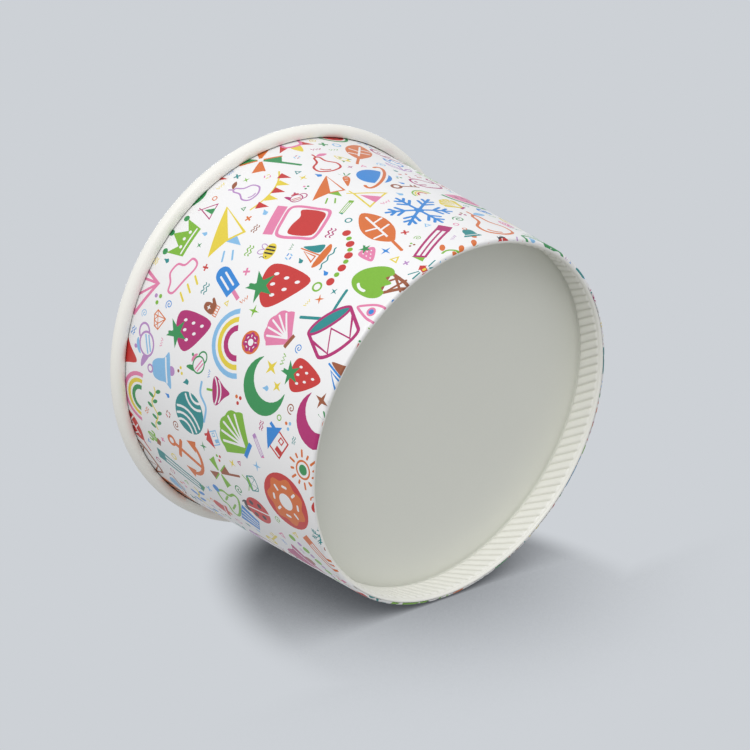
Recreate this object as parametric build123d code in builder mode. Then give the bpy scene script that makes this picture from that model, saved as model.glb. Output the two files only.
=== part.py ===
from build123d import *
import os
from math import acos, atan2, cos, degrees, hypot, radians, tan

# A paper dessert cup, in millimetres: mouth up along +Z, origin at the middle of the base.
# It is two pieces of board: a printed blank rolled to a cone with a lapped side seam, and a
# bottom disc whose down-turned skirt is glued between the wall and the wall's folded hem.
# Board sections are drawn along the middle of the board. Their bends are drawn in straight
# steps, as fine as the mesh of a ring this size would be, which keeps that mesh light.

# Overall form
rim_diameter = 96.0  # outside of the rolled rim
base_diameter = 79.0  # outside of the wall, where its face would meet the table
cup_height = 60.0  # table to the top of the rolled rim

# Board
board = 0.4  # thickness of the paperboard
glue_line = 0.02  # gap that the glue fills on each side of the skirt

# Rolled rim
curl_diameter = 3.1
curl_turn = 308.0  # degrees that the edge rolls outward and down
curl_steps = 11

# Folded hem and its knurl
hem_height = 6.6
fold_cut = 0.22  # taken off each corner of the pressed fold, along the middle of the board
knurl_count = 116
knurl_slant = 34.0  # degrees, against the line of the wall
knurl_relief = 0.3
knurl_skin = 0.03  # board left over the plain hem at the bottom of each groove
knurl_margin = 0.4  # plain board between the fold and the knurl

# Bottom disc
recess_depth = 7.2  # table to the underside of the disc
corner_cut = 0.6  # taken off the corner between disc and skirt, in the middle of the board
skirt_end_gap = 0.5  # from the skirt's edge down to the inside of the wall's fold

# Side seam, where one edge of the blank laps over the other
lap_width = 7.0  # from the cut edge to where the outer layer starts to come down
lap_ramp = 2.0  # over which the outer layer comes down to the plain wall
lap_rise = 0.36  # the board's thickness, a little pressed
lap_azimuth = 225.0  # of the cut edge, in degrees from +X, seen from above
lap_gap = 0.3  # from the lap's ends to the rolled rim and to the fold

# The wall's outer face runs from the base edge to where it touches the inside of the roll.
rim_radius = rim_diameter / 2
base_radius = base_diameter / 2
curl_radius = curl_diameter / 2
curl_r = rim_radius - curl_radius
curl_z = cup_height - curl_radius
reach = hypot(curl_r - base_radius, curl_z)
wall_angle = acos((curl_radius - board) / reach) - atan2(curl_z, curl_r - base_radius)
slope = tan(wall_angle)

# Depths of the layers behind the wall's outer face, to the middle of each board
wall_depth = board / 2
skirt_depth = wall_depth + board + glue_line
hem_depth = skirt_depth + board + glue_line
hem_face_depth = hem_depth + board / 2


def wall_point(depth, height):
    """A point of the section, by its depth behind the wall's outer face and its height."""
    return Vector(base_radius - depth / cos(wall_angle) + height * slope, height)


def cut_corner(before, corner, after, cut):
    """The two points that stand for a cut corner, one on each of its sides."""
    return [corner + (side - corner).normalized() * cut for side in (before, after)]


# One strip of board, from the hem's edge round the fold, up the wall and into the roll
hem_edge = wall_point(hem_depth, hem_height)
fold_inside = wall_point(hem_depth, board / 2)
fold_outside = wall_point(wall_depth, board / 2)
roll = [
    Vector(curl_radius - board / 2, 0).rotate(Axis.Z, 180 - degrees(wall_angle) - turn)
    + Vector(curl_r, curl_z)
    for turn in [curl_turn * step / curl_steps for step in range(curl_steps + 1)]
]

with BuildPart() as strip:
    with BuildSketch(Plane.XZ) as strip_section:
        with BuildLine() as strip_line:
            Polyline(
                hem_edge,
                *cut_corner(hem_edge, fold_inside, fold_outside, fold_cut),
                *cut_corner(fold_inside, fold_outside, roll[0], fold_cut),
                *roll,
            )
        trace(line_width=board)
    revolve(axis=Axis.Z)

# Knurl: a ring on the hem's face, cut back to slanted ridges by a many-pointed void
knurl_low = board + knurl_margin
knurl_turn = degrees((hem_height - knurl_low) * tan(radians(knurl_slant)) / base_radius)


def knurl_outline(height):
    """Grooves and ridges alternating round the hem's face at a height."""
    groove = wall_point(hem_face_depth + knurl_skin, height).X
    lead = knurl_turn * (height - knurl_low) / (hem_height - knurl_low)
    step = 180 / knurl_count
    return [
        Vector(groove - knurl_relief * (n % 2), 0, 0).rotate(Axis.Z, lead + n * step)
        for n in range(2 * knurl_count)
    ]


with BuildPart() as knurl:
    with BuildSketch(Plane.XZ) as knurl_section:
        with BuildLine() as knurl_line:
            Polyline(
                wall_point(hem_depth, knurl_low),
                wall_point(hem_depth, hem_height),
                wall_point(hem_depth + board + knurl_relief, hem_height),
                wall_point(hem_depth + board + knurl_relief, knurl_low),
                close=True,
            )
        make_face()
    revolve(axis=Axis.Z)
    for height in (knurl_low, hem_height):
        with BuildSketch(Plane.XY.offset(height)) as knurl_void:
            with BuildLine() as knurl_edge:
                Polyline(*knurl_outline(height), close=True)
            make_face()
    loft(ruled=True, mode=Mode.SUBTRACT)

# Lap of the side seam: square where the blank is cut, with a long ramp on its other side
lap_low = board + lap_gap
lap_high = curl_z - curl_radius - lap_gap
lap_plane = Plane.XZ.rotated((0, 0, lap_azimuth))

with BuildPart() as lap:
    with BuildSketch(lap_plane) as lap_section:
        with BuildLine() as lap_line:
            Polyline(
                wall_point(board / 2, lap_low),
                wall_point(-lap_rise, lap_low),
                wall_point(-lap_rise, lap_high),
                wall_point(board / 2, lap_high),
                close=True,
            )
        make_face()
    revolve(axis=Axis.Z, revolution_arc=degrees((lap_width + lap_ramp) / base_radius))
    across_lap = Axis((0, 0, 0), lap_plane.z_dir)
    far_end = lap.faces().sort_by(across_lap)[0]
    ramp_edge = far_end.edges().filter_by(GeomType.LINE).sort_by(across_lap)[0]
    chamfer(ramp_edge, length=lap_rise + board / 4, length2=lap_ramp, reference=far_end)

# Sidewall: the strip with its knurl and its lap, all one board
with BuildPart() as sidewall:
    add(strip.part)
    add(knurl.part)
    add(lap.part)

# Bottom disc, its edge folded down into the skirt between wall and hem
disc_mid = recess_depth + board / 2
disc_centre = Vector(0, disc_mid)
disc_corner = wall_point(skirt_depth, disc_mid)
skirt_end = wall_point(skirt_depth, board + skirt_end_gap)

with BuildPart() as bottom_disc:
    with BuildSketch(Plane.XZ) as disc_section:
        with BuildLine() as disc_line:
            Polyline(
                disc_centre,
                *cut_corner(disc_centre, disc_corner, skirt_end, corner_cut),
                skirt_end,
            )
        trace(line_width=board)
    revolve(axis=Axis.Z)

os.makedirs("parts", exist_ok=True)
sidewall.part.label = "sidewall"
export_step(sidewall.part, "parts/sidewall.step")
bottom_disc.part.label = "bottom_disc"
export_step(bottom_disc.part, "parts/bottom_disc.step")

print("wall half-angle in degrees:", round(degrees(wall_angle), 3))
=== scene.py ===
import bpy
import cmath
import math
import random
import numpy as np
from mathutils import Matrix, Vector
from mathutils.geometry import delaunay_2d_cdt


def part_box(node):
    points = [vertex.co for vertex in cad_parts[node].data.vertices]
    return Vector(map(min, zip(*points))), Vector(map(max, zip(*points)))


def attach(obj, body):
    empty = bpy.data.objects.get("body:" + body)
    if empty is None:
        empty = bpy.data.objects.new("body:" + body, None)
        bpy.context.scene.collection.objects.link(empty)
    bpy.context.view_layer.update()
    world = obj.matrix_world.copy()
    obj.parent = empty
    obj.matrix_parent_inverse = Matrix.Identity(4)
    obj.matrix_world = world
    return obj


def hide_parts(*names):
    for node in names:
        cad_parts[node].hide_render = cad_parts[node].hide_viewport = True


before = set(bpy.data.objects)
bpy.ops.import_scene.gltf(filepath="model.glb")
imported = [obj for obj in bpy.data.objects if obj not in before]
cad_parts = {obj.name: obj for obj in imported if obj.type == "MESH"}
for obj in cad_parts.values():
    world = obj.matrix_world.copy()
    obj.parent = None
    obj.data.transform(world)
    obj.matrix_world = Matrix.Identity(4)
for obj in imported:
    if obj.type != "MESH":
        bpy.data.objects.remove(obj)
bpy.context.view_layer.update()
print("stage 1: frame loaded")

mm = 0.001
fullTurn = 2 * math.pi

# The cup's form, in millimetres and degrees; the rim's size and the height come from the frame
cup = {
    "baseRadius": 39.5,
    "board": 0.4,
    "glueLine": 0.02,
    "curlRadius": 1.55,
    "curlTurn": 308,
    "foldRadius": 0.5,
    "hemHeight": 6.6,
    "recessDepth": 7.2,
    "columns": 348,
    "knurlColumns": 928,
}
knurl = {
    "ribs": 116,
    "slant": 34,
    "relief": 0.3,
    "groove": 0.22,  # half a groove's width, as a share of the ribs' spacing
    "skin": 0.03,
    "low": 0.8,
    "fade": 0.4,
}
lap = {
    "azimuth": 225,
    "width": 7,
    "ramp": 2,
    "rise": 0.36,
    "low": 0.75,
    "high": 56.2,
    "fade": 1.2,
    "inside": 0.13,  # what shows of the lap on the inner face
    "onBead": 0.09,  # and on the rolled rim
}

wallLow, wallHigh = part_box("sidewall")
rimRadius = (wallHigh.x - wallLow.x) / 2 / mm
cupHeight = wallHigh.z / mm
curlCentre = complex(rimRadius - cup["curlRadius"], cupHeight - cup["curlRadius"])
rollInside = cup["curlRadius"] - cup["board"]
wallRun = complex(cup["baseRadius"], 0) - curlCentre
wallAngle = math.acos(rollInside / abs(wallRun)) - math.atan2(-wallRun.imag, -wallRun.real)
wallSlope = math.tan(wallAngle)
wallDegrees = math.degrees(wallAngle)
hemFace = 3 * cup["board"] + 2 * cup["glueLine"]


def wallPoint(depth, height):
    # a point of the section, radius + height j, by its depth behind the wall's outer face
    return complex(cup["baseRadius"] - depth / math.cos(wallAngle) + height * wallSlope, height)


def arcPath(centre, radius, start, end, steps):
    angles = np.linspace(math.radians(start), math.radians(end), steps + 1)
    return [centre + cmath.rect(radius, a) for a in angles]


def smoothStep(low, high, value):
    t = np.clip((np.asarray(value, float) - low) / (high - low), 0, 1)
    return t * t * (3 - 2 * t)


# The printed face in section: from the middle of the fold, round it, up the wall, into the roll
foldOuter = wallPoint(cup["foldRadius"], cup["foldRadius"])
foldInner = wallPoint(hemFace - cup["foldRadius"], cup["foldRadius"])
foldMiddle = complex((foldOuter.real + foldInner.real) / 2, 0)
hiddenTurn = 30  # degrees of the roll that the print runs on into
foldSteps = 24
rollSteps = 8
rollStart = 180 - wallDegrees
faceSection = (
    [foldMiddle]
    + arcPath(foldOuter, cup["foldRadius"], -90, -wallDegrees, foldSteps)
    + arcPath(curlCentre, rollInside, rollStart, rollStart - hiddenTurn, rollSteps)
)
faceLengths = np.concatenate([[0], np.cumsum(np.abs(np.diff(faceSection)))])
faceLength = faceLengths[-1]
facePoints = np.array(faceSection)
faceNormals = np.array(
    [-1j]
    + arcPath(0, 1, -90, -wallDegrees, foldSteps)
    + arcPath(0, -1, rollStart, rollStart - hiddenTurn, rollSteps)
)


def faceAt(run):
    # point and outward normal of the printed face, by the length of board from the fold
    point, normal = (
        np.interp(run, faceLengths, known.real) + 1j * np.interp(run, faceLengths, known.imag)
        for known in (facePoints, faceNormals)
    )
    return point, normal / np.abs(normal)


def lapRise(angle, height):
    # how far the outer layer of the side seam stands off the plain wall
    flat = lap["width"] / cup["baseRadius"]
    down = 1 - smoothStep(flat, flat + lap["ramp"] / cup["baseRadius"], angle)
    ends = smoothStep(lap["low"], lap["low"] + lap["fade"], height)
    ends = ends * (1 - smoothStep(lap["high"] - lap["fade"], lap["high"], height))
    return lap["rise"] * down * ends


def turned(section, angle):
    # a section point at an azimuth counted from the seam, as x, y, z in mm
    azimuth = np.asarray(angle) + math.radians(lap["azimuth"])
    radius = section.real
    return np.stack([radius * np.cos(azimuth), radius * np.sin(azimuth), section.imag + 0 * azimuth], -1)


# Drawing tools: a drawing is about 10 units across, and its points are x + y j
def oval(x, y, rx, ry=0, start=0, end=360, turn=0):
    ry = ry or rx
    whole = abs(end - start) == 360
    count = max(6, round(abs(end - start) / 360 * (12 + 4.5 * max(rx, ry))))
    angles = np.linspace(math.radians(start), math.radians(end), count + 1)
    if whole:
        angles = angles[:-1]
    spin = cmath.rect(1, math.radians(turn))
    return [complex(rx * math.cos(a), ry * math.sin(a)) * spin + complex(x, y) for a in angles]


def curve(*points, closed=True, steps=5):
    # a smooth line through the points
    count = len(points)
    ends = range(count if closed else count - 1)
    made = []
    for n in ends:
        if closed:
            p0, p1, p2, p3 = (points[(n + k) % count] for k in (-1, 0, 1, 2))
        else:
            p0, p1, p2, p3 = (points[min(max(n + k, 0), count - 1)] for k in (-1, 0, 1, 2))
        for t in np.arange(steps) / steps:
            made.append(
                0.5 * (2 * p1 + (p2 - p0) * t + (2 * p0 - 5 * p1 + 4 * p2 - p3) * t * t
                       + (3 * p1 - p0 - 3 * p2 + p3) * t ** 3)
            )
    if not closed:
        made.append(points[-1])
    return made


def box(x0, y0, x1, y1):
    return [complex(x0, y0), complex(x1, y0), complex(x1, y1), complex(x0, y1)]


def star(tips, outer, inner, x=0, y=0, turn=90):
    return [
        complex(x, y) + cmath.rect((outer, inner)[n % 2], math.radians(turn + 180 * n / tips))
        for n in range(2 * tips)
    ]


def mirrored(points):
    return [complex(-p.real, p.imag) for p in points][::-1]


def signedArea(points):
    following = points[1:] + points[:1]
    return sum((p.conjugate() * q).imag for p, q in zip(points, following)) / 2


def grow(points, distance):
    # a closed outline moved outward, or inward where the distance is negative
    if signedArea(points) < 0:
        points = points[::-1]
    made = []
    for before, here, after in zip(points[-1:] + points[:-1], points, points[1:] + points[:1]):
        first = (here - before) / (abs(here - before) or 1) * -1j
        second = (after - here) / (abs(after - here) or 1) * -1j
        middle = first + second
        made.append(here + distance * middle / max(0.35, (middle * first.conjugate()).real))
    return made


def ribbon(points, width):
    # the outline of an open stroke, with round ends
    half = width / 2
    sides = []
    for n, here in enumerate(points):
        along = points[min(n + 1, len(points) - 1)] - points[max(n - 1, 0)]
        sides.append(half * 1j * along / (abs(along) or 1))
    left = [p + s for p, s in zip(points, sides)]
    right = [p - s for p, s in zip(points, sides)]
    startCap = [points[0] + sides[0] * cmath.rect(1, a) for a in (2.6, 1.57, 0.52)]
    endCap = [points[-1] - sides[-1] * cmath.rect(1, a) for a in (2.6, 1.57, 0.52)]
    return left + endCap + right[::-1] + startCap


def fill(ink, *shapes):
    return [(ink, list(s)) for s in shapes]


def line(ink, *paths, width=0.5):
    return [(ink, ribbon(list(p), width)) for p in paths]


def edged(ink, shape, inside="paper", width=0.5):
    return [(ink, list(shape)), (inside, grow(list(shape), -width))]


def dots(ink, radius, *places):
    return [(ink, oval(p.real, p.imag, radius)) for p in places]


# Drawings: each takes a main ink and a second one
def iceCream(a, b):
    scoop = curve(-2.5 - 0.5j, -2.6 + 1.2j, -1.6 + 3.4j, 4.3j, 1.6 + 3.4j, 2.6 + 1.2j, 2.5 - 0.5j,
                  1.5 - 1.2j, 0.8 - 0.3j, -1.5j, -0.8 - 0.4j, -1.6 - 1.1j)
    return (
        edged(b, [-2.2 - 0.3j, -4.9j, 2.2 - 0.3j])
        + line(b, [-1.6 - 1.2j, 0.9 - 3.2j], [1.6 - 1.2j, -0.9 - 3.2j], [-0.1 - 0.4j, 1.2 - 2.1j], width=0.35)
        + fill(a, scoop)
        + line("paper", oval(-0.1, 1.6, 1.6, start=115, end=175), width=0.4)
    )


def iceLolly(a, b):
    body = [-1.9 - 2.4j, 1.9 - 2.4j] + oval(0, 2.4, 1.9, 2.1, 0, 180)
    return (
        fill(b, box(-0.45, -4.9, 0.45, -2.2))
        + fill(a, body)
        + line("paper", [-0.7 - 1.2j, -0.7 + 2.6j], [0.7 - 1.2j, 0.7 + 2.6j], width=0.45)
    )


def ringCake(a, b):
    icing = [cmath.rect(3.6 + 0.35 * math.sin(7 * t), t) for t in np.linspace(0, fullTurn, 43)[:-1]]
    crumbs = [cmath.rect(2.45, t) for t in np.linspace(0.3, fullTurn + 0.3, 9)[:-1]]
    dashes = [[c - 0.3 * c * 1j ** n / 2, c + 0.3 * c * 1j ** n / 2] for n, c in enumerate(crumbs)]
    return (
        fill(b, oval(0, 0, 4.5))
        + fill(a, icing)
        + fill("paper", oval(0, 0, 1.35))
        + line("paper", *dashes, width=0.4)
    )


def muffin(a, b):
    top = curve(-3.2 - 0.4j, -3.5 + 1j, -2 + 1.9j, -2 + 3j, -0.2 + 4.4j, 1.6 + 3.3j, 2 + 1.9j, 3.5 + 1j,
                3.2 - 0.4j, -0.9j)
    return (
        fill(a, [-2.7 - 0.9j, -1.9 - 4.6j, 1.9 - 4.6j, 2.7 - 0.9j])
        + line("paper", [-1.3 - 1.2j, -0.9 - 4.3j], [-1.2j, -4.3j], [1.3 - 1.2j, 0.9 - 4.3j], width=0.4)
        + edged(b, top)
        + line(b, [-1.8 + 0.8j, 0.6 + 0.3j], [-0.6 + 2.3j, 1.1 + 2j], width=0.4)
        + dots(a, 0.75, 0.3 + 4.5j)
    )


def wrappedSweet(a, b):
    wing = [1.9 + 0.4j, 4.4 + 2j, 4 + 0.7j, 4.8, 4 - 0.7j, 4.4 - 2j, 1.9 - 0.4j]
    return (
        fill(b, wing, mirrored(wing))
        + fill(a, oval(0, 0, 2.4))
        + line("paper", oval(-1.6, 0, 2.4, start=-42, end=42), oval(0.2, 0, 2.4, start=-35, end=35), width=0.45)
    )


def umbrella(a, b):
    scallops = [p for x in (3, 0, -3) for p in oval(x, 0.3, 1.5, 0.9, 0, 180)]
    shaft = [0.4j, -3.3j] + oval(0.9, -3.3, 0.9, 1.1, 190, 340)
    return (
        line(b, shaft, [3.9j, 4.8j], width=0.5)
        + fill(a, oval(0, 0.3, 4.5, 3.9, 180, 0) + scallops)
        + line("paper", [1.5 + 1.3j, 0.8 + 3.3j], [-1.5 + 1.3j, -0.8 + 3.3j], width=0.4)
    )


def kite(a, b):
    tail = curve(-0.4 - 1.6j, 0.4 - 2.7j, -0.6 - 3.6j, 0.3 - 4.8j, closed=False)
    return (
        line(b, tail, width=0.4)
        + fill(b, [-0.9 - 3j, 0.9 - 2.5j, 0.9 - 3.3j, -0.9 - 2.5j])
        + edged(a, [-0.4 - 1.7j, 2.4 + 2j, 0.2 + 4.8j, -2.6 + 1.6j])
        + line(a, [-0.4 - 1.6j, 0.2 + 4.6j], [2.3 + 2j, -2.5 + 1.6j], width=0.4)
        + fill(a, [-0.2 + 1.7j, 0.2 + 4.6j, 2.2 + 2j])
    )


def sailboat(a, b):
    wave = [complex(x, -4.3 + 0.3 * math.sin(2.4 * x)) for x in np.linspace(-3.6, 3.6, 19)]
    return (
        fill(a, curve(-3.6 - 1.7j, 3.8 - 1.7j, 2.4 - 3.4j, -2.2 - 3.4j))
        + line(a, [-1.6j, 4.6j], width=0.4)
        + fill(b, curve(0.5 - 0.8j, 0.5 + 4.3j, 1.9 + 2j, 3.3 - 0.8j))
        + edged(a, [-0.5 - 0.9j, -0.5 + 3.5j, -2.9 - 0.9j], width=0.4)
        + line(b, wave, width=0.4)
    )


def moon(a, b):
    outer = oval(-0.4, 0, 4.1, start=55, end=305)
    inner = oval(1.3, 0, 3.35, start=278, end=82)
    return fill(a, outer + inner) + fill(b, star(4, 1.3, 0.4, 2.1, 1.2), star(4, 0.9, 0.3, 1.4, -1.6))


def butterfly(a, b):
    upper = curve(0.3 + 0.3j, 1.4 + 3.2j, 3.7 + 4.1j, 4.5 + 2.2j, 2.9 + 0.3j)
    lower = curve(0.3 - 0.1j, 2.6 - 0.4j, 3.5 - 2.1j, 2.3 - 3.8j, 0.8 - 2.2j)
    layers = []
    for wing in (upper, lower):
        layers += edged(a, wing) + edged(a, mirrored(wing))
    spots = [2.9 + 2.5j, -2.9 + 2.5j, 2.1 - 2.1j, -2.1 - 2.1j]
    feelers = curve(0.1 + 2j, 0.5 + 3.4j, 1.2 + 4.3j, closed=False)
    return (
        layers
        + dots(b, 0.6, *spots)
        + fill(a, oval(0, -0.3, 0.45, 2.5))
        + line(a, feelers, mirrored(feelers), width=0.3)
    )


def fish(a, b):
    body = curve(-4 + 0.2j, -2.6 + 1.9j, 0.1 + 2.4j, 2.2 + 0.9j, 3 + 0.1j, 2.2 - 0.8j, 0.1 - 2.2j, -2.6 - 1.6j)
    return (
        fill(b, [2.5 + 0.1j, 4.8 + 2.2j, 4.2, 4.8 - 2.1j], curve(-0.9 + 1.9j, 0.2 + 3.7j, 1.7 + 1.2j))
        + fill(a, body)
        + line("paper", oval(-2.3, 0.1, 1.9, start=-50, end=50), oval(-0.6, 0.1, 1.8, start=-45, end=45), width=0.4)
        + dots("paper", 0.5, -2.6 + 0.7j)
    )


def mushroom(a, b):
    brim = curve(4.2 + 0.3j, 2 - 0.6j, -0.7j, -2 - 0.6j, -4.2 + 0.3j, closed=False)
    return (
        edged(b, curve(-1.2 - 0.3j, -1.6 - 4.1j, -4.6j, 1.6 - 4.1j, 1.2 - 0.3j, 0.1j), width=0.45)
        + fill(a, oval(0, 0.3, 4.2, 4, 180, 0) + brim[1:-1])
        + dots("paper", 0.8, -2 + 1.4j, 0.5 + 2.8j)
        + dots("paper", 0.55, 2.4 + 1.3j, 0.3 + 0.7j)
    )


def leaf(a, b):
    blade = curve(-3.6 - 3.2j, -3.4 + 0.6j, -0.6 + 3.2j, 4.2 + 4j, 3.5 - 0.4j, 0.9 - 3.2j)
    ribs = [[-1.6 - 1.4j, -2.1 + 0.6j], [-1.6 - 1.4j, 0.6 - 1.9j], [0.4 + 0.4j, 2.3j], [0.4 + 0.4j, 2.4]]
    return edged(a, blade) + line(a, [-4.6 - 4.4j, 2.9 + 2.8j], *ribs, width=0.4)


def snail(a, b):
    turns = [0.8 + 0.7j + cmath.rect(0.3 + 0.44 * t, t) for t in np.linspace(0, 5.4, 22)]
    body = curve(-4.3 - 3.6j, -1 - 3.7j, 2.2 - 3.7j, 4.6 - 3.4j, 2.4 - 2.7j, -0.2 - 2.4j, -1.9 - 1.8j,
                 -2.7 + 1j, -3.8 + 1.5j, -4.4 + 0.4j, -3.8 - 1.6j)
    return (
        fill(b, body)
        + line(b, [-3.3 + 1.2j, -2.6 + 3.1j], [-4 + 1.2j, -4.5 + 2.9j], width=0.35)
        + fill(a, oval(0.8, 0.7, 3.1))
        + line("paper", turns, width=0.5)
    )


def strawberry(a, b):
    body = curve(-3.2 + 1.6j, -2.3 - 1.6j, -4.7j, 2.3 - 1.6j, 3.2 + 1.6j, 1.5 + 2.9j, -1.5 + 2.9j)
    seeds = [-1.5 + 0.9j, 0.1 + 1.1j, 1.6 + 0.8j, -0.9 - 0.9j, 0.8 - 0.9j, -2.7j]
    return (
        fill(a, body)
        + fill("paper", *[oval(s.real, s.imag, 0.24, 0.4) for s in seeds])
        + fill("green", star(5, 2.5, 0.9, 0, 3, 90))
        + line("green", [3.2j, 0.4 + 4.7j], width=0.45)
    )


def melonSlice(a, b):
    seeds = ((-1.9, 0.9), (0, 0.9), (1.9, 0.9), (-0.9, -0.5), (0.9, -0.5))
    return (
        fill("green", oval(0, 2, 4.7, 4.9, 180, 360))
        + fill("paper", oval(0, 2, 4.05, 4.2, 180, 360))
        + fill(a, oval(0, 2, 3.65, 3.75, 180, 360))
        + fill("black", *[oval(x, y, 0.22, 0.42) for x, y in seeds])
    )


def snowCrystal(a, b):
    layers = []
    for n in range(6):
        spin = cmath.rect(1, math.radians(60 * n + 30))
        barbs = [[2 * spin, 3.1 * spin + k * 1.1j * spin] for k in (-1, 1)]
        tips = [[3.2 * spin, 4 * spin + k * 0.8j * spin] for k in (-1, 1)]
        layers += line(a, [0.2 * spin, 4.6 * spin], *barbs, *tips, width=0.45)
    return layers + dots(a, 0.7, 0j)


def jewel(a, b):
    outline = [-2.4 + 3j, -4.2 + 0.7j, -4.2j, 4.2 + 0.7j, 2.4 + 3j]
    cuts = [[-4 + 0.7j, 4 + 0.7j], [-1.5 + 0.7j, -3.9j], [1.5 + 0.7j, -3.9j], [-1.5 + 0.7j, -2.4 + 2.8j],
            [-1.5 + 0.7j, 2.8j], [1.5 + 0.7j, 2.8j], [1.5 + 0.7j, 2.4 + 2.8j]]
    return edged(a, outline) + line(a, *cuts, width=0.38)


def crown(a, b):
    outline = [-3.6 - 2.9j, 3.6 - 2.9j, 4.4 + 2.2j, 2 - 0.1j, 3.4j, -2 - 0.1j, -4.4 + 2.2j]
    return (
        fill(a, outline)
        + dots(b, 0.75, -4.3 + 2.7j, 3.9j, 4.3 + 2.7j)
        + line("paper", [-3.2 - 1.9j, 3.2 - 1.9j], width=0.4)
        + dots("paper", 0.4, -1.9 - 0.8j, -0.4j, 1.9 - 0.8j)
    )


def handBell(a, b):
    outline = curve(-3.8 - 2.7j, -2.6 - 1j, -2.3 + 1.4j, -1.3 + 3j, 1.3 + 3j, 2.3 + 1.4j, 2.6 - 1j, 3.8 - 2.7j, -2.9j)
    return (
        dots(b, 1.05, -3.3j)
        + fill(a, outline)
        + edged(b, oval(0, 3.9, 1), width=0.4)
        + line("paper", [-2.6 - 1.5j, 2.6 - 1.5j], width=0.45)
    )


def mitten(a, b):
    hand = curve(-2.3 - 2j, -2.5 + 1.6j, -1.5 + 4.1j, 0.7 + 4.2j, 1.7 + 2j, 1.8 + 0.6j, 3.2 + 1.7j,
                 4.1 + 0.9j, 2.4 - 1.6j, 1.7 - 2.1j)
    return (
        fill(a, hand)
        + edged(b, box(-2.7, -4.5, 2.1, -2.2), width=0.4)
        + line(b, [-1.5 - 4.2j, -1.5 - 2.5j], [-0.3 - 4.2j, -0.3 - 2.5j], [0.9 - 4.2j, 0.9 - 2.5j], width=0.35)
        + fill("paper", star(4, 1.3, 0.45, -0.5, 1.4))
    )


def anchor(a, b):
    hook = oval(0, -0.6, 3.5, 3.4, 200, 340)
    return (
        line(a, [2.8j, -3.9j], [-1.8 + 1.5j, 1.8 + 1.5j], hook, width=0.75)
        + edged(a, oval(0, 3.7, 1.1), width=0.55)
        + fill(a, [-4.5 - 1.9j, -3.1 + 0.2j, -2.2 - 2.3j], [4.5 - 1.9j, 2.2 - 2.3j, 3.1 + 0.2j])
    )


def cottage(a, b):
    return (
        fill(b, box(1.5, 1.8, 2.5, 4.2))
        + edged(a, box(-3, -3.9, 3, 0.9), width=0.45)
        + fill(b, [-4.3 + 0.5j, 4.3 + 0.5j, 4.3j])
        + fill(a, box(-2.1, -3.9, -0.6, -1.2))
        + edged(a, box(0.5, -2.4, 2.2, -0.7), width=0.35)
    )


def ringedPlanet(a, b):
    return (
        fill(a, oval(0, 0, 2.9))
        + line("paper", oval(0, 0, 4.9, 1.5, 160, 380, turn=20), width=1.3)
        + line(b, oval(0, 0, 4.9, 1.5, 150, 390, turn=20), width=0.55)
    )


def ladybird(a, b):
    return (
        line("black", oval(0, 2.2, 1.6, 2.4, 20, 65), oval(0, 2.2, 1.6, 2.4, 160, 115), width=0.35)
        + fill("black", oval(0, 2.6, 1.7, 1.4))
        + fill(a, oval(0, -0.7, 3.5, 3.7))
        + line("paper", [2.8j, -4.2j], width=0.4)
        + dots("black", 0.65, -1.7 + 0.9j, 1.7 + 0.9j, -1.6 - 1.8j, 1.6 - 1.8j)
    )


def pinwheel(a, b):
    layers = line(b, [0.9j, -4.9j], width=0.5)
    for n in range(4):
        spin = 1j ** n
        layers += fill((a, b)[n % 2], [1.2j + p * spin for p in (0j, 3.3 + 0j, 2.5 + 1.7j)])
        layers += line(a, [1.2j, 1.2j + 2.5 * spin + 1.7j * spin], width=0.3)
    return layers + dots("paper", 0.45, 1.2j)


def acorn(a, b):
    nut = curve(-2.6 + 0.8j, -2.4 - 1.8j, -0.8 - 3.9j, -4.7j, 0.8 - 3.9j, 2.4 - 1.8j, 2.6 + 0.8j)
    return (
        edged(a, nut)
        + fill(b, oval(0, 0.9, 3.4, 2.5, 0, 180) + [-3.2 + 0.2j, 3.2 + 0.2j])
        + line("paper", [-2.4 + 1.1j, -0.4 + 3j], [-0.9 + 0.7j, 1.3 + 2.7j], [0.7 + 0.7j, 2.4 + 2j], width=0.3)
        + line(b, curve(3.2j, 0.2 + 4.1j, 0.9 + 4.8j, closed=False), width=0.5)
    )


def pear(a, b):
    body = curve(-0.9 + 3j, -1.3 + 0.9j, -3 - 0.9j, -2.7 - 3.4j, -4.5j, 2.7 - 3.4j, 3 - 0.9j, 1.3 + 0.9j,
                 0.9 + 3j, 3.6j)
    return (
        edged(a, body)
        + fill(b, curve(0.2 + 3.7j, 1.5 + 4.8j, 3.1 + 4.4j, 1.9 + 3.5j))
        + line(a, [3.4j, -0.2 + 4.8j], width=0.45)
        + line(a, oval(0, -1.8, 1.9, 1.7, 200, 270), width=0.4)
    )


def cactus(a, b):
    arm = curve(1.1 - 0.2j, 2.8 - 0.1j, 3 + 1.6j, closed=False)
    return (
        line(a, arm, mirrored([p + 0.8j for p in arm])[::-1], width=1.1)
        + fill(a, curve(-1.3 - 2.2j, -1.4 + 2.4j, 4.3j, 1.4 + 2.4j, 1.3 - 2.2j))
        + line("paper", [-0.45 - 1.4j, -0.45 + 2.8j], [0.45 - 1.4j, 0.45 + 2.8j], width=0.25)
        + fill(b, [-2.2 - 2.2j, -1.6 - 4.7j, 1.6 - 4.7j, 2.2 - 2.2j])
    )


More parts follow.
